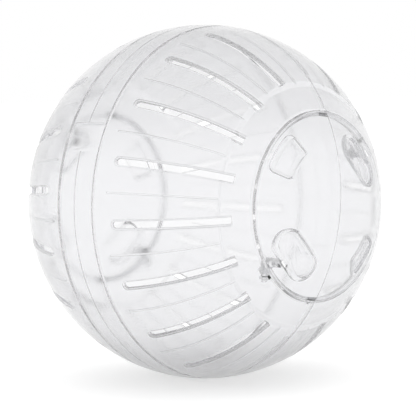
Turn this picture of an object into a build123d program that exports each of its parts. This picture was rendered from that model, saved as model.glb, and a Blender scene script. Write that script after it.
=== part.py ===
# Hamster exercise ball in clear moulded plastic. Millimetres, +Z up, origin at the ball's centre.
# Two identical half shells meet on a seam that runs through both ends of the lid axis, which is X.
# A round lid at each end hooks under a ledge of both halves and so holds the ball together.
import os
from math import acos, cos, degrees, radians, sin, sqrt

from build123d import *

os.makedirs("parts", exist_ok=True)

# Ball
ball_diameter = 178.0
wall = 2.0
ball_roll = 6.7  # degrees that the ball has rolled about the lid axis from a seam that stands upright
cut_overrun = 1.0

# Slots and the thin ribs inside between them. Latitudes are degrees from the middle of the rolling band.
slots_per_half = 8
slot_width = 4.0
slot_start = 14.4
slot_end = 52.0
slot_end_drop = 7.6  # how much sooner a slot would end right at the seam
rib_width = 0.8
rib_height = 0.7
rib_start = 12.0

# Rolling band: a groove along each edge, a finer one along the middle and a shallow pad across
band_latitude = 7.7
band_groove_width = 1.5
band_groove_bottom = 0.8
band_groove_depth = 0.4
middle_groove_width = 0.7
middle_groove_bottom = 0.2
middle_groove_depth = 0.25
pad_turn = 17.2
pad_half_angle = 4.6
pad_depth = 0.3

# Seam: a bevelled outer edge, a tongue along one edge of each half and a rebate along the other
seam_bevel = 0.5
tongue_length = 3.0
tongue_share = 0.45  # of the wall
tongue_gap = 0.15
tongue_latitude = 44.0

# Lid opening: a thicker land round it, a rebate for the lid's rim, and a ledge with a ridge
land_latitude = 48.0
land_extra = 1.2
opening_radius = 45.6
edge_bevel = 0.4
seat_depth = 2.4
ledge_thickness = 1.6
ridge_thickness = 1.0
ridge_height = 0.6

# Lid: a cap flush with the ball, whose rim goes round the ridges of both halves
lid_wall = 2.0
lid_gap = 0.4
rim_thickness = 1.0
ridge_gap = 0.3
seat_gap = 0.2
index_width = 0.5
index_depth = 0.25

# Hooks under the lid, the notches at the seam that let them in, and the stops that they turn against
hook_turn = -45.0
hook_width = 3.7
hook_height = 3.0
hook_overlap = 0.2
hook_gap = 0.3
post_thickness = 4.2
post_gap = 0.6
notch_gap = 0.8
stop_thickness = 2.0

# Pockets in the lid: two finger grips beside the hooks and two shallow sectors between them
pocket_wall = 1.5
grip_length = 26.6
grip_width = 11.2
grip_depth = 2.6
grip_margin = 1.3
sector_turn = 37.0
sector_half_angle = 14.0
sector_radial = 9.0
sector_margin = 0.7
sector_depth = 2.0
sector_corner = 1.5

# Worked out from the sizes above
ball_radius = ball_diameter / 2
inner_radius = ball_radius - wall
land_radius = inner_radius - land_extra
lid_inner_radius = ball_radius - lid_wall
lid_middle_radius = ball_radius - lid_wall / 2
tongue_radius = inner_radius + wall * tongue_share
slot_pitch = 180 / (slots_per_half + 1)
ledge_top = sqrt(ball_radius**2 - opening_radius**2) - seat_depth
ledge_bottom = ledge_top - ledge_thickness
rim_bottom = ledge_top + seat_gap
lid_edge_radius = opening_radius - lid_gap
rim_inner_radius = lid_edge_radius - rim_thickness
ridge_outer_radius = rim_inner_radius - ridge_gap
bore_radius = ridge_outer_radius - ridge_thickness
post_outer_radius = bore_radius - post_gap
post_inner_radius = post_outer_radius - post_thickness
hook_reach = opening_radius + hook_overlap
hook_bottom = ledge_bottom - hook_gap - hook_height
notch_reach = hook_reach + notch_gap
grip_radius = post_inner_radius - grip_margin - grip_width / 2
sector_outer_radius = post_outer_radius - pocket_wall - sector_margin
sector_inner_radius = sector_outer_radius - sector_radial
even_turns = [(i - slots_per_half / 2) * slot_pitch for i in range(slots_per_half + 1)]
odd_turns = [(i + 0.5 - slots_per_half / 2) * slot_pitch for i in range(slots_per_half)]


def on_sphere(radius, latitude):
    """A point of a section through the lid axis, as (along the axis, away from it)."""
    return (radius * sin(radians(latitude)), radius * cos(radians(latitude)))


def along_axis(radius, away):
    """How far along the lid axis a sphere lies at a distance away from that axis."""
    return sqrt(radius**2 - away**2)


def latitude_at(radius, away):
    """The latitude where a sphere lies at a distance away from the lid axis."""
    return degrees(acos(away / radius))


def sphere_arc(radius, start, end):
    """An arc of a section, between two latitudes."""
    return ThreePointArc(
        on_sphere(radius, start), on_sphere(radius, (start + end) / 2), on_sphere(radius, end)
    )


def spoke(turn):
    """The plane through the lid axis at a turn up from the front, with y pointing out of the ball."""
    angle = radians(turn + ball_roll)
    return Plane(origin=(0, 0, 0), x_dir=(1, 0, 0), z_dir=(0, -sin(angle), -cos(angle)))


def lid_turn(turn):
    """The same turn, as an angle in the plane that faces along the lid axis."""
    return 180 - turn - ball_roll


front_axis = Axis((0, 0, 0), spoke(0).y_dir)
up_axis = Axis((0, 0, 0), spoke(90).y_dir)


def ring_sector(turn, inner, outer, start, end):
    """A piece of a ring on a spoke plane, between two radii and two latitudes."""
    with BuildSketch(spoke(turn)) as sector:
        with BuildLine():
            sphere_arc(outer, start, end)
            Line(on_sphere(outer, end), on_sphere(inner, end))
            sphere_arc(inner, end, start)
            Line(on_sphere(inner, start), on_sphere(outer, start))
        make_face()
    return sector.sketch


def cut_slot(turn, side):
    """Cut a slot through the wall, round at the band's end and square at the lid's end."""
    round_latitude = slot_start + degrees(slot_width / 2 / ball_radius)
    end_latitude = slot_end - slot_end_drop * (turn / 90) ** 2
    bottom = land_radius - rib_height - cut_overrun
    top = ball_radius + cut_overrun
    slot = ring_sector(turn, bottom, top, side * round_latitude, side * end_latitude)
    extrude(slot, amount=slot_width / 2, both=True, mode=Mode.SUBTRACT)
    along, away = on_sphere(ball_radius, side * round_latitude)
    outward = Vector(along, 0, 0) + spoke(turn).y_dir * away
    with Locations(Plane(origin=outward * (bottom / ball_radius), z_dir=outward)):
        Cylinder(
            slot_width / 2,
            top - bottom,
            align=(Align.CENTER, Align.CENTER, Align.MIN),
            mode=Mode.SUBTRACT,
        )


def add_rib(turn, side):
    """Add a thin rib along the inside of the wall, from the band into the land."""
    rib_bottom = inner_radius - rib_height
    rib_root = inner_radius + wall / 2
    rib = ring_sector(turn, rib_bottom, rib_root, side * rib_start, side * slot_end)
    extrude(rib, amount=rib_width / 2, both=True)


def cut_ring_groove(latitude, width, bottom_width, depth):
    """Cut a groove with sloping sides round the ball at a latitude."""
    spread = (width - bottom_width) / depth * cut_overrun
    top_width = width + spread
    across, out = on_sphere(1, latitude + 90), on_sphere(1, latitude)
    with BuildSketch(spoke(90)) as section:
        with BuildLine():
            corners = [
                Vector(*out) * (ball_radius + height) + Vector(*across) * offset
                for height, offset in (
                    (-depth, -bottom_width / 2),
                    (-depth, bottom_width / 2),
                    (cut_overrun, top_width / 2),
                    (cut_overrun, -top_width / 2),
                )
            ]
            Polyline(*corners, close=True)
        make_face()
    revolve(section.sketch, axis=Axis.X, mode=Mode.SUBTRACT)


# Section of a half shell: outer wall, rebate, ridge and ledge at the opening, then land and inner wall
with BuildSketch(spoke(90)) as half_section:
    with BuildLine():
        lip_latitude = latitude_at(ball_radius, opening_radius + edge_bevel)
        land_end = latitude_at(land_radius, along_axis(land_radius, ledge_bottom))
        sphere_arc(ball_radius, 0, lip_latitude)
        Polyline(
            on_sphere(ball_radius, lip_latitude),
            (along_axis(ball_radius, opening_radius) - edge_bevel, opening_radius),
            (ledge_top, opening_radius),
            (ledge_top, ridge_outer_radius),
            (ledge_top + ridge_height, ridge_outer_radius),
            (ledge_top + ridge_height, bore_radius),
            (ledge_bottom, bore_radius),
            on_sphere(land_radius, land_end),
        )
        sphere_arc(land_radius, land_end, land_latitude)
        Line(on_sphere(land_radius, land_latitude), on_sphere(inner_radius, land_latitude))
        sphere_arc(inner_radius, land_latitude, 0)
        mirror(about=Plane.YZ)
    make_face()

# Front half shell
with BuildPart() as front_half:
    revolve(half_section.sketch, axis=Axis.X, revolution_arc=180)

    # Ribs and slots: those of one side stand halfway between those of the other
    for turn in even_turns:
        add_rib(turn, 1)
    for turn in odd_turns:
        add_rib(turn, -1)
    for turn in odd_turns:
        cut_slot(turn, 1)
    for turn in even_turns:
        cut_slot(turn, -1)

    # Rolling band
    for latitude in (band_latitude, -band_latitude):
        cut_ring_groove(latitude, band_groove_width, band_groove_bottom, band_groove_depth)
    cut_ring_groove(0, middle_groove_width, middle_groove_bottom, middle_groove_depth)
    pad = ring_sector(
        pad_turn + pad_half_angle,
        ball_radius - pad_depth,
        ball_radius + cut_overrun,
        -band_latitude,
        band_latitude,
    )
    revolve(pad, axis=Axis.X, revolution_arc=2 * pad_half_angle, mode=Mode.SUBTRACT)

    # Bevel along the outer edges of the seam
    with BuildSketch(spoke(0)) as bevel_section:
        with BuildLine():
            Polyline(
                (ball_radius - seam_bevel, 0),
                (ball_radius + cut_overrun, 0),
                (ball_radius + cut_overrun, seam_bevel + cut_overrun),
                close=True,
            )
        make_face()
    revolve(bevel_section.sketch, axis=front_axis, mode=Mode.SUBTRACT)

    # Tongue along the upper edge, rebate for the other half's tongue along the lower edge
    tongue = ring_sector(90, inner_radius, tongue_radius, -tongue_latitude, tongue_latitude)
    extrude(tongue, amount=-tongue_length)
    rebate_latitude = tongue_latitude + degrees(tongue_gap / inner_radius)
    rebate_bottom = inner_radius - rib_height
    rebate = ring_sector(-90, rebate_bottom, tongue_radius + tongue_gap, -rebate_latitude, rebate_latitude)
    extrude(rebate, amount=-tongue_length - tongue_gap, mode=Mode.SUBTRACT)

    # Notches at both ends of the seam, where the lids' hooks go in
    for turn in (90, -90):
        for side in (1, -1):
            with BuildSketch(spoke(turn)) as notch:
                with Locations((side * ball_radius, bore_radius - cut_overrun)):
                    Rectangle(
                        2 * (ball_radius - ledge_bottom + cut_overrun),
                        notch_reach - bore_radius + cut_overrun,
                        align=(Align.CENTER, Align.MIN),
                    )
            extrude(notch.sketch, amount=hook_width / 2 + notch_gap, both=True, mode=Mode.SUBTRACT)

    # Stops under the ledges, beside the hooks of a locked lid
    stop_top = ledge_bottom + ledge_thickness / 2
    stop_inner_radius = bore_radius + hook_gap
    for side in (1, -1):
        stop_plane = spoke(side * hook_turn).offset(-side * (hook_width / 2 + hook_gap))
        with BuildSketch(stop_plane) as stop:
            with Locations((side * (hook_bottom + stop_top) / 2, (stop_inner_radius + notch_reach) / 2)):
                Rectangle(stop_top - hook_bottom, notch_reach - stop_inner_radius)
        extrude(stop.sketch, amount=-side * stop_thickness)
front_half.part.label = "front_half"

# Back half shell: the same moulding, turned half a turn about the lid axis
back_half = front_half.part.rotate(Axis.X, 180)
back_half.label = "back_half"


def pocket(outline, bottom_radius, top_radius):
    """A prism along the lid axis, kept between two spheres."""
    with BuildPart() as prism:
        extrude(outline, amount=ball_diameter)
        Sphere(top_radius, mode=Mode.INTERSECT)
        Sphere(bottom_radius, mode=Mode.SUBTRACT)
    return prism.part


def grip_outline(margin):
    """Both finger grips, each a slot across its hook's direction."""
    with BuildSketch(Plane.YZ) as outline:
        with PolarLocations(grip_radius, 2, start_angle=lid_turn(hook_turn)):
            SlotOverall(grip_length + 2 * margin, grip_width + 2 * margin, rotation=90)
    return outline.sketch


def sector_outline(margin):
    """Both sectors of a ring, with rounded corners."""
    reach = sector_half_angle + degrees(margin / sector_outer_radius)
    with BuildSketch(mode=Mode.PRIVATE) as one_sector:
        with BuildLine():
            outer = CenterArc((0, 0), sector_outer_radius + margin, -reach, 2 * reach)
            inner = CenterArc((0, 0), sector_inner_radius - margin, -reach, 2 * reach)
            Line(outer @ 0, inner @ 0)
            Line(outer @ 1, inner @ 1)
        make_face()
        fillet(one_sector.vertices(), sector_corner + margin)
    with BuildSketch(Plane.YZ) as outline:
        with PolarLocations(0, 2, start_angle=lid_turn(sector_turn)):
            add(one_sector.sketch)
    return outline.sketch


# Section of a lid: the cap and its rim
with BuildSketch(spoke(90)) as lid_section:
    with BuildLine():
        edge_latitude = latitude_at(ball_radius, lid_edge_radius - edge_bevel)
        rim_latitude = latitude_at(lid_inner_radius, rim_inner_radius)
        sphere_arc(ball_radius, 90, edge_latitude)
        Polyline(
            on_sphere(ball_radius, edge_latitude),
            (along_axis(ball_radius, lid_edge_radius) - edge_bevel, lid_edge_radius),
            (rim_bottom, lid_edge_radius),
            (rim_bottom, rim_inner_radius),
            on_sphere(lid_inner_radius, rim_latitude),
        )
        sphere_arc(lid_inner_radius, rim_latitude, 90)
        Line(on_sphere(lid_inner_radius, 90), on_sphere(ball_radius, 90))
    make_face()

# Hooks: a post under the cap and a foot that reaches out under the ledge
with BuildPart() as hooks:
    with BuildSketch(Plane.YZ.offset(hook_bottom)) as posts:
        with PolarLocations((post_inner_radius + post_outer_radius) / 2, 2, start_angle=lid_turn(hook_turn)):
            Rectangle(post_thickness, hook_width)
    extrude(posts.sketch, amount=ball_radius)
    Sphere(lid_middle_radius, mode=Mode.INTERSECT)
    with BuildSketch(Plane.YZ.offset(hook_bottom)) as feet:
        with PolarLocations((post_inner_radius + hook_reach) / 2, 2, start_angle=lid_turn(hook_turn)):
            Rectangle(hook_reach - post_inner_radius, hook_width)
    extrude(feet.sketch, amount=hook_height)

# Right lid
with BuildPart() as right_lid:
    revolve(lid_section.sketch, axis=Axis.X)
    add(hooks.part)

    # Walls of the pockets, then the pockets themselves
    add(pocket(grip_outline(pocket_wall), ball_radius - grip_depth - pocket_wall, lid_middle_radius))
    add(pocket(sector_outline(pocket_wall), ball_radius - sector_depth - pocket_wall, lid_middle_radius))
    add(pocket(grip_outline(0), ball_radius - grip_depth, ball_diameter), mode=Mode.SUBTRACT)
    add(pocket(sector_outline(0), ball_radius - sector_depth, ball_diameter), mode=Mode.SUBTRACT)

    # Fine line across the cap, in line with the seam when the lid is locked
    with BuildSketch(spoke(0)) as index_section:
        with Locations((ball_radius - index_depth, 0)):
            Rectangle(index_depth + cut_overrun, index_width, align=(Align.MIN, Align.CENTER))
    revolve(index_section.sketch, axis=front_axis, mode=Mode.SUBTRACT)
right_lid.part.label = "right_lid"

# Left lid: the same moulding, turned to face the other way
left_lid = right_lid.part.rotate(up_axis, 180)
left_lid.label = "left_lid"

export_step(front_half.part, "parts/front_half.step")
export_step(back_half, "parts/back_half.step")
export_step(right_lid.part, "parts/right_lid.step")
export_step(left_lid, "parts/left_lid.step")
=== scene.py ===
# %% [markdown]
# # A hamster exercise ball in clear plastic
# The ball is two half shells and two round lids, all moulded in the same clear plastic.
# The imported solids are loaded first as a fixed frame. Every piece made below stands where they stand.

# %% Load the frame
import math

import bmesh
import bpy
import numpy as np
from mathutils import Matrix, Vector


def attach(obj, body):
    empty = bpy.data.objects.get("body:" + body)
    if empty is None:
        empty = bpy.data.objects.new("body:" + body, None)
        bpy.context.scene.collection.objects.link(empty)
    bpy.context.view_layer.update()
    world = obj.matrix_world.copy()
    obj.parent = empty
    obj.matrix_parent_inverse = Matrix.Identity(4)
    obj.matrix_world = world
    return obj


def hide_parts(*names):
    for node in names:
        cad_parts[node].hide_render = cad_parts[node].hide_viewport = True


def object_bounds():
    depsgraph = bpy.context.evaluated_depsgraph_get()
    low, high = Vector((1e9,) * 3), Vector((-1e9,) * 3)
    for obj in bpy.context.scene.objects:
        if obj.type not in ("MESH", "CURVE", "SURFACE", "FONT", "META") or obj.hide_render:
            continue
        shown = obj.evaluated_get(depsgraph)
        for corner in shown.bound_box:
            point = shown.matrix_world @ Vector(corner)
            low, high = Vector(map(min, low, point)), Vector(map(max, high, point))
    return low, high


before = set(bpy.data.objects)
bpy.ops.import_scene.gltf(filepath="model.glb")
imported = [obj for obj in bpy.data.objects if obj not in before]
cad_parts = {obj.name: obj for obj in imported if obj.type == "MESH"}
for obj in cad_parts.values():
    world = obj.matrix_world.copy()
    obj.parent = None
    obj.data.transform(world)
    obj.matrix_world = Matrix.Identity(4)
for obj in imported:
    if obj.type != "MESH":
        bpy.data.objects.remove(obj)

cad_box = [list(corner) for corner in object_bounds()]
mm = 0.001
# A hair under the solids' 89 mm, so that the smooth pieces stay inside the solids' faceted box.
ball_radius = 88.985 * mm
print("nodes", sorted(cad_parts))
print("box", [[round(value, 4) for value in corner] for corner in cad_box])

# %% [markdown]
# ## Camera
# The picture was taken from a little above the middle of the ball, with one lid turned towards the right.
# The angles come from fitting the ball's circle, its seam and its slots to the picture.
# A long lens from eleven radii away gives the same gentle perspective.

# %% Place the camera
camera_azimuth = math.radians(43.94)
camera_elevation = math.radians(3.96)
camera_roll = math.radians(-1.075)
camera_distance = 11 * ball_radius
aim_right_share = 0.01624
aim_down_share = 0.0356
turned = (
    Matrix.Rotation(camera_azimuth, 3, "Z")
    @ Matrix.Rotation(math.pi / 2 - camera_elevation, 3, "X")
    @ Matrix.Rotation(camera_roll, 3, "Z")
)
right, up, back = turned.col
aim = (right * aim_right_share - up * aim_down_share) * ball_radius
camera_data = bpy.data.cameras.new("camera")
camera_data.sensor_width = 36
camera_data.lens = 167.68
camera = bpy.data.objects.new("camera", camera_data)
camera.matrix_world = Matrix.Translation(aim + back * camera_distance) @ turned.to_4x4()
bpy.context.collection.objects.link(camera)
bpy.context.scene.camera = camera
bpy.context.scene.view_settings.view_transform = "Standard"
print("camera at", [round(value, 3) for value in camera.matrix_world.translation])

# %% [markdown]
# ## Floor and studio
# The ball stands on a plain white floor in a white room. Clear plastic is only seen by what it bends and
# mirrors, so the room is brightest round the horizon and softer overhead. The floor takes most of its
# light from above, which keeps the shadow close to the ball. It also glows a little, and a little more
# where the camera sees it directly, so that it stays white. Light that gets caught inside a clear wall
# bounces many times before it leaves, so it is followed further than usual.

# %% Floor
floor_half = 8  # metres
floor_level = cad_box[0][2]
floor_grey = 0.61
base_glow, camera_glow = 0.4, 0.18
floor_corners = [(-1, -1), (1, -1), (1, 1), (-1, 1)]
floor_points = [(x * floor_half, y * floor_half, floor_level) for x, y in floor_corners]
floor_mesh = bpy.data.meshes.new("floor")
floor_mesh.from_pydata(floor_points, [], [(0, 1, 2, 3)])
floor = bpy.data.objects.new("floor", floor_mesh)
bpy.context.collection.objects.link(floor)
floor_paint = bpy.data.materials.new("floor_paint")
floor_paint.use_nodes = True
floor_shader = floor_paint.node_tree.nodes["Principled BSDF"]
floor_shader.inputs["Base Color"].default_value = (floor_grey, floor_grey, floor_grey, 1)
floor_shader.inputs["Roughness"].default_value = 0.9
floor_shader.inputs["Specular IOR Level"].default_value = 0
floor_shader.inputs["Emission Color"].default_value = (1, 1, 1, 1)
floor_paths = floor_paint.node_tree.nodes.new("ShaderNodeLightPath")
floor_glow = floor_paint.node_tree.nodes.new("ShaderNodeMath")
floor_glow.operation = "MULTIPLY_ADD"
floor_glow.inputs[1].default_value = camera_glow
floor_glow.inputs[2].default_value = base_glow
floor_paint.node_tree.links.new(floor_paths.outputs["Is Camera Ray"], floor_glow.inputs[0])
floor_paint.node_tree.links.new(floor_glow.outputs[0], floor_shader.inputs["Emission Strength"])
floor_mesh.materials.append(floor_paint)
print("floor at", round(floor_level, 4))

# %% World
world = bpy.data.worlds.new("studio")
bpy.context.scene.world = world
world.use_nodes = True
studio = world.node_tree
place = studio.nodes.new("ShaderNodeTexCoord")
split = studio.nodes.new("ShaderNodeSeparateXYZ")
studio.links.new(place.outputs["Generated"], split.inputs[0])
light_path = studio.nodes.new("ShaderNodeLightPath")


def room_by_height(low, low_level, high, high_level):
    """The room's brightness from one height up to another, as the colour of a ramp."""
    ramp = studio.nodes.new("ShaderNodeValToRGB")
    studio.links.new(split.outputs["Z"], ramp.inputs[0])
    for element, position, level in zip(ramp.color_ramp.elements, (low, high), (low_level, high_level)):
        element.position = position
        element.color = (level, level, level, 1)
    return ramp.outputs["Color"]


def swap_for(ray, before, after):
    """One colour of the room for most rays, white if none is given, and another for one kind of ray."""
    swap = studio.nodes.new("ShaderNodeMix")
    swap.data_type = "RGBA"
    studio.links.new(light_path.outputs[ray], swap.inputs["Factor"])
    if before is None:
        swap.inputs["A"].default_value = (1, 1, 1, 1)
    else:
        studio.links.new(before, swap.inputs["A"])
    studio.links.new(after, swap.inputs["B"])
    return swap.outputs["Result"]


in_plastic = room_by_height(low=0.35, low_level=0.96, high=0.85, high_level=0.58)
on_floor = room_by_height(low=0.2, low_level=0.3, high=1.0, high_level=1.55)
room = swap_for("Is Diffuse Ray", None, on_floor)
room = swap_for("Is Glossy Ray", room, in_plastic)
room = swap_for("Is Transmission Ray", room, in_plastic)
studio.links.new(room, studio.nodes["Background"].inputs["Color"])
print("studio nodes", len(studio.nodes))

# %% Light paths
bounces = 40
paths = bpy.context.scene.cycles
paths.max_bounces = bounces
paths.glossy_bounces = bounces
paths.transmission_bounces = bounces
print("light follows", bounces, "bounces")

# %% [markdown]
# ## Clear plastic
# Polystyrene is water-clear, but a moulding is never optically flat. A little roughness lets the far side
# of the ball melt away behind the near wall, as it does on the real thing. The roughness varies with the
# haze of use, and two bumps stand for the slow waves that the mould leaves and the fine scuffs of rolling.

# %% Clear plastic
def noise(tree, place, scale, detail, stretch=(1, 1, 1)):
    """A noise on the piece's own coordinates, stretched along some of them."""
    stretched = tree.nodes.new("ShaderNodeMapping")
    stretched.inputs["Scale"].default_value = stretch
    tree.links.new(place, stretched.inputs["Vector"])
    made = tree.nodes.new("ShaderNodeTexNoise")
    made.inputs["Scale"].default_value = scale
    made.inputs["Detail"].default_value = detail
    tree.links.new(stretched.outputs["Vector"], made.inputs["Vector"])
    return made.outputs["Fac"]


def clear_plastic():
    """The clear polished moulding of shells and lids."""
    material = bpy.data.materials.new("clear_plastic")
    material.use_nodes = True
    tree = material.node_tree
    shader = tree.nodes["Principled BSDF"]
    shader.inputs["Base Color"].default_value = (0.932, 0.933, 0.942, 1)
    shader.inputs["IOR"].default_value = 1.5
    shader.inputs["Transmission Weight"].default_value = 1
    place = tree.nodes.new("ShaderNodeTexCoord").outputs["Object"]

    haze = tree.nodes.new("ShaderNodeMapRange")
    haze.inputs["From Min"].default_value = 0.35
    haze.inputs["From Max"].default_value = 0.7
    haze.inputs["To Min"].default_value = 0.09
    haze.inputs["To Max"].default_value = 0.12
    tree.links.new(noise(tree, place, scale=60, detail=5), haze.inputs["Value"])
    tree.links.new(haze.outputs["Result"], shader.inputs["Roughness"])

    waves = tree.nodes.new("ShaderNodeBump")
    waves.inputs["Strength"].default_value = 0.5
    waves.inputs["Distance"].default_value = 0.35 * mm
    slow_noise = noise(tree, place, scale=42, detail=1, stretch=(1, 1, 0.6))
    tree.links.new(slow_noise, waves.inputs["Height"])
    scuffs = tree.nodes.new("ShaderNodeBump")
    scuffs.inputs["Strength"].default_value = 0.3
    scuffs.inputs["Distance"].default_value = 0.02 * mm
    fine_noise = noise(tree, place, scale=500, detail=3, stretch=(0.3, 1, 1))
    tree.links.new(fine_noise, scuffs.inputs["Height"])
    tree.links.new(waves.outputs["Normal"], scuffs.inputs["Normal"])
    tree.links.new(scuffs.outputs["Normal"], shader.inputs["Normal"])
    return material


plastic = clear_plastic()
print("plastic nodes", len(plastic.node_tree.nodes))

# %% [markdown]
# ## The ball's own coordinates
# Everything on the ball is placed by how far it lies along the lid axis, how far away from that axis, and
# at which turn up from the front. The ball has rolled a little, so its seam doesn't stand quite upright.

# %% Coordinates on the ball
ball_roll = math.radians(6.7)


def outward(turn):
    """The direction away from the lid axis at a turn up from the front, and the one along the turn."""
    angle = turn + ball_roll
    away = Vector((0, -math.cos(angle), math.sin(angle)))
    across = Vector((0, math.sin(angle), math.cos(angle)))
    return away, across


def on_sphere(radius, latitude):
    """A section point on a sphere, as (along the axis, away from it)."""
    return (radius * math.sin(latitude), radius * math.cos(latitude))


def arc(radius, start, end, step=math.radians(2)):
    """Section points along a sphere between two latitudes, both ends included."""
    count = max(2, round(abs(end - start) / step) + 1)
    return [on_sphere(radius, start + (end - start) * i / (count - 1)) for i in range(count)]


def rounded(corner, before, after, radius, count=4):
    """Points that round a corner of a section between two directions given as points."""
    corner, before, after = Vector(corner), Vector(before), Vector(after)
    first = corner + (before - corner).normalized() * radius
    last = corner + (after - corner).normalized() * radius
    shares = [i / count for i in range(count + 1)]
    return [tuple(first * (1 - s) ** 2 + corner * 2 * s * (1 - s) + last * s**2) for s in shares]


# %% Mesh helpers
tiny = 0.001 * mm


def new_object(name, mesh):
    """An object in the scene that holds a mesh."""
    made = bpy.data.objects.new(name, mesh)
    bpy.context.collection.objects.link(made)
    return made


def built_object(name, build):
    """An object in the scene that holds a finished bmesh, its faces turned outwards."""
    bmesh.ops.recalc_face_normals(build, faces=build.faces)
    mesh = bpy.data.meshes.new(name)
    build.to_mesh(mesh)
    build.free()
    return new_object(name, mesh)


def loft(name, loops, folded=False):
    """A closed solid through a stack of loops that have the same number of points. Folded ends are strips
    that join the two sides of a loop, so that they follow a solid that is bent later."""
    build = bmesh.new()
    rings = [[build.verts.new(point) for point in loop] for loop in loops]
    size = len(rings[0])
    for lower, upper in zip(rings, rings[1:]):
        for i in range(size):
            j = (i + 1) % size
            build.faces.new((lower[i], lower[j], upper[j], upper[i]))
    for ring in (rings[0], rings[-1]):
        if folded:
            for i in range((size - 1) // 2):
                strip = (ring[i], ring[i + 1], ring[size - 2 - i], ring[size - 1 - i])
                # Where the fold meets in one point, the strip has three corners.
                build.faces.new(dict.fromkeys(strip))
        else:
            build.faces.new(ring)
    bmesh.ops.remove_doubles(build, verts=build.verts, dist=tiny)
    return built_object(name, build)


def apply_modifiers(made):
    """Replaces an object's mesh by what its modifiers make of it."""
    evaluated = made.evaluated_get(bpy.context.evaluated_depsgraph_get())
    mesh = bpy.data.meshes.new_from_object(evaluated)
    made.modifiers.clear()
    made.data = mesh


def carve(base, steps):
    """The base after a row of unions and differences. The tools that it used are removed."""
    for i, (operation, tool) in enumerate(steps):
        cut = base.modifiers.new(f"step_{i}", "BOOLEAN")
        cut.operation = operation
        cut.solver = "MANIFOLD"
        cut.object = tool
    apply_modifiers(base)
    for _, tool in steps:
        bpy.data.objects.remove(tool)
    return base


# %% [markdown]
# ## Half shell: wall, band and lid opening
# A half shell is a body of revolution, so its section is drawn once and spun half a turn about the lid
# axis. The section has the grooves of the rolling band, a rounded lip at the opening, the rebate that takes
# the lid's rim, and the ledge with its ridge. Rounded corners matter: they are what shows on clear plastic.

# %% Sizes of a half shell
wall = 2.0 * mm
inner_radius = ball_radius - wall
land_thickness = 1.2 * mm
land_radius = inner_radius - land_thickness
land_latitude = math.radians(48)
land_blend = math.radians(1.1)
opening_radius = 45.6 * mm
opening_height = math.sqrt(ball_radius**2 - opening_radius**2)
ledge_depth, ledge_thickness = 2.4 * mm, 1.6 * mm
ledge_top = opening_height - ledge_depth
ledge_bottom = ledge_top - ledge_thickness
ridge_height = 0.6 * mm
ridge_top = ledge_top + ridge_height
ridge_outer = 43.9 * mm
bore_radius = 42.9 * mm
lip_round, ridge_round, bore_round = 0.5 * mm, 0.45 * mm, 0.9 * mm
band_latitude = math.radians(7.7)
band_width, band_depth = 2.2 * mm, 0.7 * mm
band_half_angle = band_width / 2 / ball_radius
middle_width, middle_bottom, middle_depth = 0.7 * mm, 0.2 * mm, 0.25 * mm
middle_half_angle = middle_width / 2 / ball_radius


# %% Grooves in the section
def middle_groove(width, bottom, depth):
    """Section points of one side of the fine groove round the middle, from its bottom to the surface."""
    half = width / 2
    shape = [(bottom / 2, 1), (bottom / 2 + 0.1 * width, 0.82), (half * 0.86, 0.14), (half, 0)]
    return [on_sphere(ball_radius - depth * sunk, offset / ball_radius) for offset, sunk in shape]


def band_edge(latitude, width, depth):
    """Section points of the groove beside the rolling band: a steep step at the band, then a slow rise."""
    shape = [(0, 0), (0.1, 0.2), (0.16, 0.85), (0.24, 1), (0.45, 0.82), (0.7, 0.42), (0.9, 0.1), (1, 0)]
    return [on_sphere(ball_radius - depth * sunk, latitude + (share - 0.5) * width / ball_radius)
            for share, sunk in shape]


# %% Section of a half shell
gap_latitude = 0.1 * mm / ball_radius  # between the end of a groove and the arc beside it
direction_step = 0.1  # radians along the sphere, to show a direction
lip = (opening_height, opening_radius)
lip_latitude = math.asin(opening_height / ball_radius) - lip_round / ball_radius
land_end = math.asin(ledge_bottom / land_radius)
ledge_outer, ledge_inner = (ledge_top, opening_radius), (ledge_top, ridge_outer)
ridge_far, ridge_near = (ridge_top, ridge_outer), (ridge_top, bore_radius)
bore_end = (ledge_bottom, bore_radius)
right_side = middle_groove(middle_width, middle_bottom, middle_depth)
right_side += arc(ball_radius, middle_half_angle + gap_latitude,
                  band_latitude - band_half_angle - gap_latitude)
right_side += band_edge(band_latitude, band_width, band_depth)
right_side += arc(ball_radius, band_latitude + band_half_angle + gap_latitude, lip_latitude)[:-1]
right_side += rounded(lip, on_sphere(ball_radius, lip_latitude - direction_step), ledge_outer, lip_round)
right_side += [ledge_outer, ledge_inner]
right_side += rounded(ridge_far, ledge_inner, ridge_near, ridge_round)
right_side += rounded(ridge_near, ridge_far, bore_end, ridge_round)
right_side += rounded(bore_end, (ledge_top, bore_radius), on_sphere(land_radius, land_end), bore_round)
right_side += arc(land_radius, land_end, land_latitude + land_blend)
for share in (0.15, 0.3, 0.5, 0.7, 0.85):
    smooth = share * share * (3 - 2 * share)
    radius = land_radius + (inner_radius - land_radius) * smooth
    right_side.append(on_sphere(radius, land_latitude + land_blend * (1 - 2 * share)))
right_side += arc(inner_radius, land_latitude - land_blend, 0)[:-1]
section = [(0, ball_radius - middle_depth)] + right_side + [(0, inner_radius)]
section += [(-along, away) for along, away in reversed(right_side)]
print("section points", len(section))

# %% Spin the section
seam_round = 0.8 * mm
ring_step = math.radians(1.5)
# Turns away from the seam, close together where its edge is rounded. The first leaves a hair's gap.
seam_turns = [math.radians(value) for value in (0.04, 0.1, 0.2, 0.36, 0.58)]
middle_span = math.pi - 2 * seam_turns[-1]
middle_count = round(middle_span / ring_step)
middle_step = middle_span / middle_count
turns = [-math.pi / 2 + value for value in seam_turns]
middle_start = turns[-1]
turns += [middle_start + middle_step * (i + 1) for i in range(middle_count - 1)]
turns += [math.pi / 2 - value for value in reversed(seam_turns)]


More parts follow.
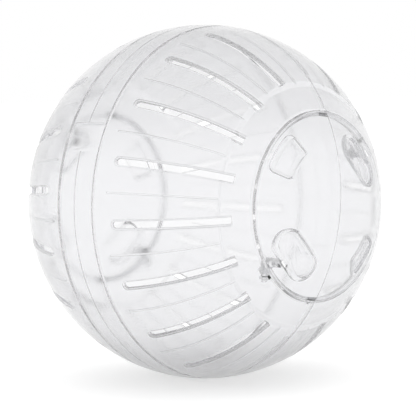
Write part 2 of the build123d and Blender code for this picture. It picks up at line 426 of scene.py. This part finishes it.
def seam_drop(turn):
    """How far the outer face falls away at the rounded edge of the seam."""
    share = min(1, (math.pi / 2 - abs(turn)) / seam_turns[-1])
    return seam_round * (1 - math.sqrt(1 - (1 - share) ** 2))


def spin_half():
    """The half shell's wall as one closed solid. The seam's rounding fades out one millimetre down."""
    loops = []
    for turn in turns:
        away_direction, _ = outward(turn)
        loop = []
        for along, away in section:
            distance = math.hypot(along, away)
            depth = min(1, (ball_radius - distance) / mm)
            share = 1 - seam_drop(turn) * (1 - depth) / distance
            loop.append(Vector((along, 0, 0)) * share + away_direction * away * share)
        loops.append(loop)
    return loft("front_shell", loops)


front_shell = spin_half()
print("wall", len(front_shell.data.vertices), "points")

# %% [markdown]
# ## Slots and ribs
# Slots let air in and run from the rolling band towards the lids, and a thin rib stiffens the wall between
# each pair. Every one lies along its own meridian of the ball. One flat slot and one flat rib are drawn,
# and Geometry Nodes copies them and wraps each copy on its meridian. The number, the pitch and the
# latitudes are inputs of the tree, so the left and right sides and the ribs all share it.

# %% Node tree: copies of a flat solid
WRAP_INPUTS = {
    "Count": "NodeSocketInt", "First Turn": "NodeSocketFloat", "Pitch": "NodeSocketFloat",
    "Side": "NodeSocketFloat", "Start Latitude": "NodeSocketFloat", "End Latitude": "NodeSocketFloat",
    "End Drop": "NodeSocketFloat", "Ball Radius": "NodeSocketFloat", "Roll": "NodeSocketFloat",
    "Material": "NodeSocketMaterial",
}


def math_node(tree, operation, *values):
    """A Math node, whose inputs are sockets or numbers."""
    node = tree.nodes.new("ShaderNodeMath")
    node.operation = operation
    for socket, value in zip(node.inputs, values):
        if isinstance(value, bpy.types.NodeSocket):
            tree.links.new(value, socket)
        else:
            socket.default_value = value
    return node.outputs[0]


def copies_of_solid(tree, given):
    """One copy of the flat solid for each meridian, which keeps the turn of its meridian."""
    index = tree.nodes.new("GeometryNodeInputIndex").outputs[0]
    points = tree.nodes.new("GeometryNodePoints")
    tree.links.new(given["Count"], points.inputs["Count"])
    keep_turn = tree.nodes.new("GeometryNodeStoreNamedAttribute")
    keep_turn.inputs["Name"].default_value = "turn"
    tree.links.new(points.outputs[0], keep_turn.inputs["Geometry"])
    turn_of_copy = math_node(tree, "MULTIPLY_ADD", index, given["Pitch"], given["First Turn"])
    tree.links.new(turn_of_copy, keep_turn.inputs["Value"])
    copies = tree.nodes.new("GeometryNodeInstanceOnPoints")
    tree.links.new(keep_turn.outputs[0], copies.inputs["Points"])
    tree.links.new(given["Geometry"], copies.inputs["Instance"])
    realize = tree.nodes.new("GeometryNodeRealizeInstances")
    tree.links.new(copies.outputs[0], realize.inputs["Geometry"])
    return realize.outputs[0]


# %% Node tree: wrap the copies on the ball
def wrapped_position(tree, given):
    """Where a point of a flat copy lies once the copy is wrapped on its meridian."""
    turn_node = tree.nodes.new("GeometryNodeInputNamedAttribute")
    turn_node.inputs["Name"].default_value = "turn"
    turn = turn_node.outputs["Attribute"]
    position = tree.nodes.new("GeometryNodeInputPosition").outputs[0]
    flat = tree.nodes.new("ShaderNodeSeparateXYZ")
    tree.links.new(position, flat.inputs[0])
    length, width, depth = flat.outputs
    quarter = math_node(tree, "DIVIDE", turn, math.pi / 2)
    drop = math_node(tree, "MULTIPLY", given["End Drop"], math_node(tree, "MULTIPLY", quarter, quarter))
    end = math_node(tree, "SUBTRACT", given["End Latitude"], drop)
    span = math_node(tree, "SUBTRACT", end, given["Start Latitude"])
    before = math_node(tree, "DIVIDE", math_node(tree, "MINIMUM", length, 0.0), given["Ball Radius"])
    after = math_node(tree, "MULTIPLY", math_node(tree, "MAXIMUM", length, 0.0), span)
    latitude = math_node(tree, "ADD", math_node(tree, "ADD", before, after), given["Start Latitude"])
    radius = math_node(tree, "ADD", given["Ball Radius"], depth)
    along_right = math_node(tree, "MULTIPLY", radius, math_node(tree, "SINE", latitude))
    along = math_node(tree, "MULTIPLY", along_right, given["Side"])
    away = math_node(tree, "MULTIPLY", radius, math_node(tree, "COSINE", latitude))
    across = math_node(tree, "MULTIPLY", width, given["Side"])
    angle = math_node(tree, "ADD", turn, given["Roll"])
    sine, cosine = math_node(tree, "SINE", angle), math_node(tree, "COSINE", angle)
    y = math_node(tree, "SUBTRACT", math_node(tree, "MULTIPLY", across, sine),
                  math_node(tree, "MULTIPLY", away, cosine))
    z = math_node(tree, "ADD", math_node(tree, "MULTIPLY", across, cosine),
                  math_node(tree, "MULTIPLY", away, sine))
    wrapped = tree.nodes.new("ShaderNodeCombineXYZ")
    for socket, value in zip(wrapped.inputs, (along, y, z)):
        tree.links.new(value, socket)
    return wrapped.outputs[0]


def wrap_tree():
    """Copies a flat solid and wraps each copy along a meridian of the ball."""
    tree = bpy.data.node_groups.new("wrap_on_meridians", "GeometryNodeTree")
    tree.interface.new_socket("Geometry", in_out="INPUT", socket_type="NodeSocketGeometry")
    for name, kind in WRAP_INPUTS.items():
        tree.interface.new_socket(name, in_out="INPUT", socket_type=kind)
    tree.interface.new_socket("Geometry", in_out="OUTPUT", socket_type="NodeSocketGeometry")
    given = tree.nodes.new("NodeGroupInput").outputs
    move = tree.nodes.new("GeometryNodeSetPosition")
    tree.links.new(copies_of_solid(tree, given), move.inputs["Geometry"])
    tree.links.new(wrapped_position(tree, given), move.inputs["Position"])
    finish = tree.nodes.new("GeometryNodeSetMaterial")
    tree.links.new(move.outputs[0], finish.inputs["Geometry"])
    tree.links.new(given["Material"], finish.inputs["Material"])
    tree.links.new(finish.outputs[0], tree.nodes.new("NodeGroupOutput").inputs[0])
    return tree


wrap = wrap_tree()
print("wrap tree", len(wrap.nodes), "nodes")

# %% Wrap copies of a flat solid
def wrap_copies(name, flat_mesh, **sizes):
    """A plain object with the copies of a flat solid, wrapped on the ball."""
    made = new_object(name, flat_mesh)
    modifier = made.modifiers.new("wrap", "NODES")
    modifier.node_group = wrap
    values = {"Ball Radius": ball_radius, "Roll": ball_roll, "Material": plastic, "End Drop": 0.0, **sizes}
    for socket in wrap.interface.items_tree:
        if socket.item_type == "SOCKET" and socket.in_out == "INPUT" and socket.name in values:
            modifier[socket.identifier] = values[socket.name]
    made.update_tag()
    apply_modifiers(made)
    return made


# %% One flat slot and one flat rib
def only_mesh(made):
    """The mesh of an object, without the object."""
    mesh = made.data
    bpy.data.objects.remove(made)
    return mesh


def flat_slot():
    """A slot's cutter, flat: round at the band's end, square at the lid's end, wider towards the outside.
    Its length runs from 0 at the round end's centre to 1, and negative lengths are metres."""
    # Half widths, and levels above the ball's surface, in millimetres.
    profile = [(1.95, -3.9), (1.95, -2.2), (1.75, -1.95), (1.6, -1.7), (1.55, -1.4), (1.55, -0.85),
               (1.62, -0.62), (1.8, -0.5), (2.2, -0.4), (2.34, -0.3), (2.42, -0.16), (2.55, -0.03),
               (2.8, 0.04), (3.4, 0.3)]
    side_count, round_count = 26, 12
    loops = []
    for half, level in profile:
        half, level = half * mm, level * mm
        loop = [(i / side_count, half, level) for i in range(side_count, 0, -1)]
        for i in range(round_count + 1):
            angle = math.pi * i / round_count
            loop.append((-half * math.sin(angle), half * math.cos(angle), level))
        loop += [(i / side_count, -half, level) for i in range(1, side_count + 1)]
        loops.append(loop)
    return only_mesh(loft("flat_slot", loops, folded=True))


def flat_rib():
    """A rib, flat: a low rounded bar under the wall, its root inside the wall."""
    # Places across the rib, and levels above the ball's surface, in millimetres.
    profile = [(-0.4, -1.5), (-0.4, -2.4), (-0.28, -2.62), (0, -2.7), (0.28, -2.62), (0.4, -2.4),
               (0.4, -1.5)]
    count = 30
    loops = [[(i / count, across * mm, level * mm) for across, level in profile] for i in range(count + 1)]
    return only_mesh(loft("flat_rib", loops))


# %% Wrap the slots and ribs of both sides
slot_tip = math.radians(14.7)
slot_round = 1.5 * mm
slot_start = slot_tip + slot_round / ball_radius
slot_end = math.radians(52.0)
slot_drop = math.radians(7.6)
rib_start = math.radians(12.0)
rib_end = math.radians(48.6)
pitch = math.radians(20)
slot_sizes = {"Pitch": pitch, "Start Latitude": slot_start, "End Latitude": slot_end, "End Drop": slot_drop}
rib_sizes = {"Pitch": pitch, "Start Latitude": rib_start, "End Latitude": rib_end}
# The two sides are staggered by half a pitch, and ribs stand where the other side has slots.
odd = {"First Turn": math.radians(-70), "Count": 8}
even = {"First Turn": math.radians(-80), "Count": 9}
slot_mesh, rib_mesh = flat_slot(), flat_rib()
right_slots = wrap_copies("right_slots", slot_mesh, Side=1.0, **odd, **slot_sizes)
left_slots = wrap_copies("left_slots", slot_mesh, Side=-1.0, **even, **slot_sizes)
right_ribs = wrap_copies("right_ribs", rib_mesh, Side=1.0, **even, **rib_sizes)
left_ribs = wrap_copies("left_ribs", rib_mesh, Side=-1.0, **odd, **rib_sizes)
for made in (right_slots, left_slots, right_ribs, left_ribs):
    print(made.name, len(made.data.polygons), "faces")

# %% [markdown]
# ## Seam, notches and stops
# Each half has a tongue along one edge of its seam, a rebate for the other half's tongue along the other,
# notches where the lids' hooks go in, and a stop under each ledge that the hooks turn against. They are
# boxes and strips that are joined to the wall or cut from it, and the booleans keep the shell one closed
# solid, which clear plastic needs. A shallow pad across the band has sides that slope out to nothing.

# %% Blocks and strips
def block(name, turn, along, away, across, soften):
    """A box with softened edges on the ball: ranges along the axis, away from it and across, at a turn."""
    away_direction, across_direction = outward(turn)
    ranges = (along, away, across)
    build = bmesh.new()
    bmesh.ops.create_cube(build, size=1)
    for vert in build.verts:
        spot = [low + (high - low) * (value + 0.5) for (low, high), value in zip(ranges, vert.co)]
        vert.co = Vector((spot[0], 0, 0)) + away_direction * spot[1] + across_direction * spot[2]
    bmesh.ops.bevel(build, geom=build.edges, offset=soften, segments=2, affect="EDGES", profile=0.5)
    return built_object(name, build)


def seam_strip(name, turn, inner, outer, latitude, start, end):
    """A strip along the seam: part of the wall's thickness, pushed straight across the seam."""
    away_direction, across_direction = outward(turn)
    outline = arc(outer, -latitude, latitude) + arc(inner, latitude, -latitude)
    loops = []
    for distance in (start, end):
        shift = across_direction * distance
        loops.append([Vector((along, 0, 0)) + away_direction * away + shift for along, away in outline])
    return loft(name, loops)


# %% Soft pockets
def domed(shapes):
    """Outlines with their sphere's radius, with shrunken ones that dome the first and the last of them."""
    floor_shares, top_shares = (0.06, 0.25, 0.5, 0.75), (0.7, 0.4, 0.06)
    (first, low), (last, high) = shapes[0], shapes[-1]
    middle = sum((Vector(point) for point in first), Vector((0, 0))) / len(first)

    def shrunk(points, share):
        return [tuple(middle.lerp(Vector(point), share)) for point in points]

    floor_shapes = [(shrunk(first, share), low) for share in floor_shares]
    top_shapes = [(shrunk(last, share), high) for share in top_shares]
    return floor_shapes + shapes + top_shapes


def pad_solid(turn, half_turn, half_latitude):
    """The cutter of a shallow pad across the rolling band, with soft edges."""
    # Margins past the pad's edge, and depths below the ball's surface, in millimetres.
    profile = [(-0.3, 0.3), (-0.05, 0.26), (0.12, 0.17), (0.3, 0.05), (0.6, -0.05), (1.2, -0.4)]
    # A side keeps the coordinate that isn't 0, and the other one slides from its start to the far end.
    sides = [(1, 0, -1), (0, 1, 1), (-1, 0, 1), (0, -1, -1)]
    side_count = 12
    shapes = []
    for margin, depth in profile:
        turn_reach = half_turn + margin * mm / ball_radius
        latitude_reach = half_latitude + margin * mm / ball_radius
        points = []
        for x, y, start in sides:
            for i in range(side_count):
                slide = start * (1 - 2 * i / side_count)
                points.append((turn_reach * (x or slide), latitude_reach * (y or slide)))
        shapes.append((points, ball_radius - depth * mm))
    loops = []
    for points, radius in domed(shapes):
        loop = []
        for swing, latitude in points:
            along, away = on_sphere(radius, latitude)
            loop.append(Vector((along, 0, 0)) + outward(turn + swing)[0] * away)
        loops.append(loop)
    return loft("pad", loops)


# %% Sizes of the lock and the seam
hook_width, hook_depth = 3.7 * mm, 3.3 * mm
hook_turn = math.radians(-45)
hook_bottom = ledge_bottom - hook_depth
hook_reach = 45.8 * mm
hook_play = 0.8 * mm
notch_half = hook_width / 2 + hook_play
notch_wall = 0.7 * mm
stop_play, stop_inset, stop_thickness = 0.3 * mm, 0.3 * mm, 2 * mm
stop_near = hook_width / 2 + stop_play
block_round = 0.9 * mm
tongue_latitude = math.radians(44)
tongue_length = 3 * mm
tongue_gap, tongue_inset = 0.15 * mm, 0.05 * mm
tongue_radius = inner_radius + 0.45 * wall
pad_turn = math.radians(17.2)
pad_half = math.radians(4.6)
overlap = 0.6 * mm  # of a piece with the wall that it joins
past = 1 * mm  # of a cutter beyond what it cuts

# %% Carve the half shell
steps = [("UNION", right_ribs), ("UNION", left_ribs)]
for side in (1, -1):
    along = sorted((side * hook_bottom, side * (ledge_bottom + overlap)))
    away = (bore_radius + stop_inset, hook_reach + hook_play)
    across = sorted((-side * stop_near, -side * (stop_near + stop_thickness)))
    steps.append(("UNION", block("stop", side * hook_turn, along, away, across, block_round)))
steps += [("DIFFERENCE", right_slots), ("DIFFERENCE", left_slots)]
for turn in (math.pi / 2, -math.pi / 2):
    for side in (1, -1):
        along = sorted((side * (ledge_bottom - past), side * (ledge_top + past)))
        away = (bore_radius - past, opening_radius - notch_wall)
        notch = block("notch", turn, along, away, (-notch_half, notch_half), block_round)
        steps.append(("DIFFERENCE", notch))
steps.append(("DIFFERENCE", pad_solid(pad_turn, pad_half, band_latitude - band_half_angle)))
rebate = seam_strip("rebate", -math.pi / 2, inner_radius - past, tongue_radius + tongue_gap,
                    tongue_latitude + tongue_gap / inner_radius, -past, tongue_length + tongue_gap)
tongue = seam_strip("tongue", math.pi / 2, inner_radius + tongue_inset, tongue_radius, tongue_latitude,
                    -overlap, tongue_length)
steps += [("DIFFERENCE", rebate), ("UNION", tongue)]
front_shell = carve(front_shell, steps)
print("front shell", len(front_shell.data.polygons), "faces")

# %% [markdown]
# ## Lids
# A lid is a cap that follows the ball, with a rim that drops into the opening. Two finger grips and two
# shallow sectors are sunk into it, and two hooks under it lock below the ledges of the half shells. The cap
# is spun from its section. Each pocket is a loft through one outline at several margins and depths, so its
# rounded edge is part of the loft and needs no bevel.

# %% Section of a lid
lid_gap = 0.4 * mm
lid_edge = opening_radius - lid_gap
rim_thickness, rim_play, rim_round = 1 * mm, 0.2 * mm, 0.4 * mm
rim_inner = lid_edge - rim_thickness
rim_bottom = ledge_top + rim_play
lid_inner_radius = ball_radius - wall
edge_corner = (math.sqrt(ball_radius**2 - lid_edge**2), lid_edge)
edge_latitude = math.asin(edge_corner[0] / ball_radius) + lip_round / ball_radius
before_edge = on_sphere(ball_radius, edge_latitude + direction_step)
rim_latitude = math.acos(rim_inner / lid_inner_radius)
outer_corner, inner_corner = (rim_bottom, lid_edge), (rim_bottom, rim_inner)
lid_section = arc(ball_radius, math.pi / 2, edge_latitude)[:-1]
lid_section += rounded(edge_corner, before_edge, outer_corner, lip_round)
lid_section += rounded(outer_corner, edge_corner, inner_corner, rim_round)
lid_section += rounded(inner_corner, outer_corner, edge_corner, rim_round)
lid_section += arc(lid_inner_radius, rim_latitude, math.pi / 2)


# %% Spin the cap
def spin_lid():
    """The cap and its rim as one closed solid."""
    count = 144
    build = bmesh.new()
    rings = []
    for i in range(count):
        away_direction, _ = outward(2 * math.pi * i / count)
        rings.append([build.verts.new(Vector((along, 0, 0)) + away_direction * max(away, 0))
                      for along, away in lid_section])
    for i in range(count):
        here, there = rings[i], rings[(i + 1) % count]
        for j in range(len(lid_section) - 1):
            build.faces.new((here[j], here[j + 1], there[j + 1], there[j]))
    bmesh.ops.remove_doubles(build, verts=build.verts, dist=tiny)
    bmesh.ops.dissolve_degenerate(build, edges=build.edges, dist=tiny)
    return built_object("right_cap", build)


right_cap = spin_lid()
print("cap", len(right_cap.data.polygons), "faces")

# %% Sizes of a lid's hooks and pockets
post_play, post_room = 0.6 * mm, 4.2 * mm
post_outer = bore_radius - post_play
post_inner = post_outer - post_room
post_thickness = 1.8 * mm  # of the post itself, which takes up only part of its room
post_drop = 9 * mm
post_top = ball_radius - post_drop
foot_height = 3 * mm
hook_round = 0.3 * mm
grip_half_length, grip_half_width = 26.6 / 2 * mm, 11.2 / 2 * mm
grip_space = 1.3 * mm
grip_centre = post_inner - grip_space - grip_half_width
grip_swing = math.radians(3.5)
pocket_wall = 1.5 * mm
sector_space, sector_breadth = 0.7 * mm, 9 * mm
sector_outer = post_outer - pocket_wall - sector_space
sector_inner = sector_outer - sector_breadth
sector_half = math.radians(14)
sector_turn = math.radians(37)
sector_corner = 1.5 * mm


# %% Outlines of the pockets
def grip_outline(margin):
    """A pill across its hook's direction, as (away, across) points."""
    count = 12
    radius = grip_half_width + margin
    reach = grip_half_length - grip_half_width
    points = []
    for end, start in ((1, 0), (-1, math.pi)):
        for i in range(count + 1):
            angle = start + math.pi * i / count
            points.append((grip_centre + radius * math.cos(angle), end * reach + radius * math.sin(angle)))
    return points


def sector_outline(margin):
    """A sector of a ring with rounded corners, as (away, across) points."""
    corner_count, half_side_count = 6, 5
    outer, inner = sector_outer + margin, sector_inner - margin
    reach = sector_half + margin / sector_outer
    corner = sector_corner + margin
    outer_angle = reach - corner / (outer - corner)
    inner_angle = reach - corner / (inner + corner)
    corners = [(outer - corner, outer_angle), (inner + corner, inner_angle),
               (inner + corner, -inner_angle), (outer - corner, -outer_angle)]
    points = []
    for quarter, (away, angle) in enumerate(corners):
        for i in range(corner_count + 1):
            swing = angle + (quarter + i / corner_count) * math.pi / 2
            points.append((away * math.cos(angle) + corner * math.cos(swing),
                           away * math.sin(angle) + corner * math.sin(swing)))
        if quarter in (1, 3):
            radius, span = (inner, inner_angle) if quarter == 1 else (outer, -outer_angle)
            for i in range(1, 2 * half_side_count):
                angle = span * (1 - i / half_side_count)
                points.append((radius * math.cos(angle), radius * math.sin(angle)))
    return points


# %% Solids of the pockets and the line
def sunk_solid(name, outline, turn, profile):
    """A solid through outlines at several margins and depths below the ball's surface, with domed ends."""
    away_direction, across_direction = outward(turn)
    shapes = [(outline(margin * mm), ball_radius - depth * mm) for margin, depth in profile]
    loops = []
    for points, sphere in domed(shapes):
        loops.append([Vector((math.sqrt(sphere**2 - away**2 - across**2), 0, 0))
                      + away_direction * away + across_direction * across for away, across in points])
    return loft(name, loops)


def index_line():
    """The cutter of the fine line across the cap, which points at the seam when the lid is locked."""
    up_direction, side_direction = outward(math.pi / 2)[0], outward(0)[0]
    # Places across the line, and levels above the ball's surface, in millimetres.
    profile = [(-0.1, -0.25), (-0.25, 0.02), (-0.5, 0.4), (0.5, 0.4), (0.25, 0.02), (0.1, -0.25)]
    count, reach = 80, math.radians(32)
    loops = []
    for i in range(count + 1):
        angle = reach * (2 * i / count - 1)
        out = Vector((1, 0, 0)) * math.cos(angle) + up_direction * math.sin(angle)
        loops.append([out * (ball_radius + level * mm) + side_direction * across * mm
                      for across, level in profile])
    return loft("index_line", loops)


# %% Carve the right lid
# Margins past a pocket's outline, and depths below the ball's surface, in millimetres.
grip_cut = [(-1.7, 2.6), (-1.1, 2.52), (-0.6, 2.2), (-0.3, 1.7), (-0.1, 1.0), (0.08, 0.5), (0.35, 0.13),
            (0.75, -0.05), (1.6, -0.6)]
grip_wall = [(0.3, 4.1), (1.0, 3.95), (1.4, 3.5), (1.5, 3.0), (1.5, 1.0)]
sector_cut = [(-1.4, 2.0), (-0.9, 1.93), (-0.5, 1.65), (-0.2, 1.2), (-0.05, 0.8), (0.08, 0.45),
              (0.35, 0.12), (0.7, -0.05), (1.4, -0.6)]
sector_wall = [(0.4, 3.5), (1.0, 3.37), (1.4, 2.95), (1.5, 2.5), (1.5, 1.0)]
lock_turns = [hook_turn, hook_turn + math.pi]
grip_turns = [turn - grip_swing for turn in lock_turns]
sector_turns = [sector_turn, sector_turn + math.pi]
across = (-hook_width / 2, hook_width / 2)
lid_steps = []
for turn in grip_turns:
    lid_steps.append(("UNION", sunk_solid("grip_wall", grip_outline, turn, grip_wall)))
for turn in lock_turns:
    post_away, foot_away = (post_inner, post_inner + post_thickness), (post_inner, hook_reach)
    post = block("post", turn, (hook_bottom, post_top), post_away, across, hook_round)
    foot = block("foot", turn, (hook_bottom, hook_bottom + foot_height), foot_away, across, hook_round)
    lid_steps += [("UNION", post), ("UNION", foot)]
for turn in sector_turns:
    lid_steps.append(("UNION", sunk_solid("sector_wall", sector_outline, turn, sector_wall)))
for turn in grip_turns:
    lid_steps.append(("DIFFERENCE", sunk_solid("grip_cut", grip_outline, turn, grip_cut)))
for turn in sector_turns:
    lid_steps.append(("DIFFERENCE", sunk_solid("sector_cut", sector_outline, turn, sector_cut)))
lid_steps.append(("DIFFERENCE", index_line()))
right_cap = carve(right_cap, lid_steps)
print("right lid", len(right_cap.data.polygons), "faces")

# %% [markdown]
# ## Smooth shading
# Clear plastic shows every facet, so the faces of the ball's spheres take the sphere's own normals, and the
# small faces of grooves, slots and rims are smoothed up to a moderate angle.

# %% Polish a mesh
soft_angle = math.radians(42)
near_sphere = 0.05 * mm
least_facing = 0.98


def read_values(items, name, width=1, kind=float):
    """One value, or a row of values, for each item of a mesh."""
    values = np.empty(len(items) * width, kind)
    items.foreach_get(name, values)
    return values.reshape(-1, width) if width > 1 else values


def polish(mesh, spheres):
    """Sphere normals on the faces of the given spheres, soft edges on the rest."""
    for polygon in mesh.polygons:
        polygon.use_smooth = True
    mesh.set_sharp_from_angle(angle=soft_angle)
    points = read_values(mesh.vertices, "co", 3)
    distance = np.linalg.norm(points, axis=1)
    radial = points / np.maximum(distance, mm)[:, None]
    corners = read_values(mesh.corner_normals, "vector", 3)
    loop_point = read_values(mesh.loops, "vertex_index", kind=int)
    normals = read_values(mesh.polygons, "normal", 3)
    face_count = len(mesh.polygons)
    face_of_loop = np.repeat(np.arange(face_count), read_values(mesh.polygons, "loop_total", kind=int))
    for radius, sign in spheres:
        on_loop = np.abs(distance[loop_point] - radius) < near_sphere
        off_count = np.bincount(face_of_loop, ~on_loop, face_count)
        facing = np.einsum("ij,ij->i", normals[face_of_loop], radial[loop_point]) * sign > least_facing
        taken = (off_count[face_of_loop] == 0) & facing
        corners[taken] = radial[loop_point[taken]] * sign
    mesh.normals_split_custom_set(corners.tolist())


polish(front_shell.data, [(ball_radius, 1), (inner_radius, -1), (land_radius, -1)])
polish(right_cap.data, [(ball_radius, 1), (lid_inner_radius, -1)])

# %% [markdown]
# ## The other half and the other lid
# Both halves come from one mould, and so do both lids. A mirrored copy would have its lock the wrong way
# round, so the copies are turned instead: the back half about the lid axis, the left lid about the upright.

# %% Turn copies for the other half and the other lid
def turned_copy(name, source, axis):
    """A copy of a piece, turned half a turn about an axis through the ball's centre."""
    mesh = source.data.copy()
    mesh.name = name
    mesh.transform(Matrix.Rotation(math.pi, 4, axis))
    return new_object(name, mesh)


upright, _ = outward(math.pi / 2)
back_shell = turned_copy("back_shell", front_shell, Vector((1, 0, 0)))
left_cap = turned_copy("left_cap", right_cap, upright)

# %% [markdown]
# ## Bodies and nodes
# Each piece gets the plastic and rides with the body of the solid that it stands for, so that a lid turns
# with its joint and the halves stay together.

# %% Give every piece its plastic and body, and hide the node that it stands for
pieces = [
    (front_shell, "shell", "front_half", "clear_shell"),
    (back_shell, "shell", "back_half", "clear_shell"),
    (right_cap, "right_lid", "right_lid", "clear_lid"),
    (left_cap, "left_lid", "left_lid", "clear_lid"),
]
for piece, body, node, slot in pieces:
    piece.data.materials.clear()
    piece.data.materials.append(plastic)
    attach(piece, body)
    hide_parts(node)
    print(piece.name, "triangles", sum(len(face.vertices) - 2 for face in piece.data.polygons))
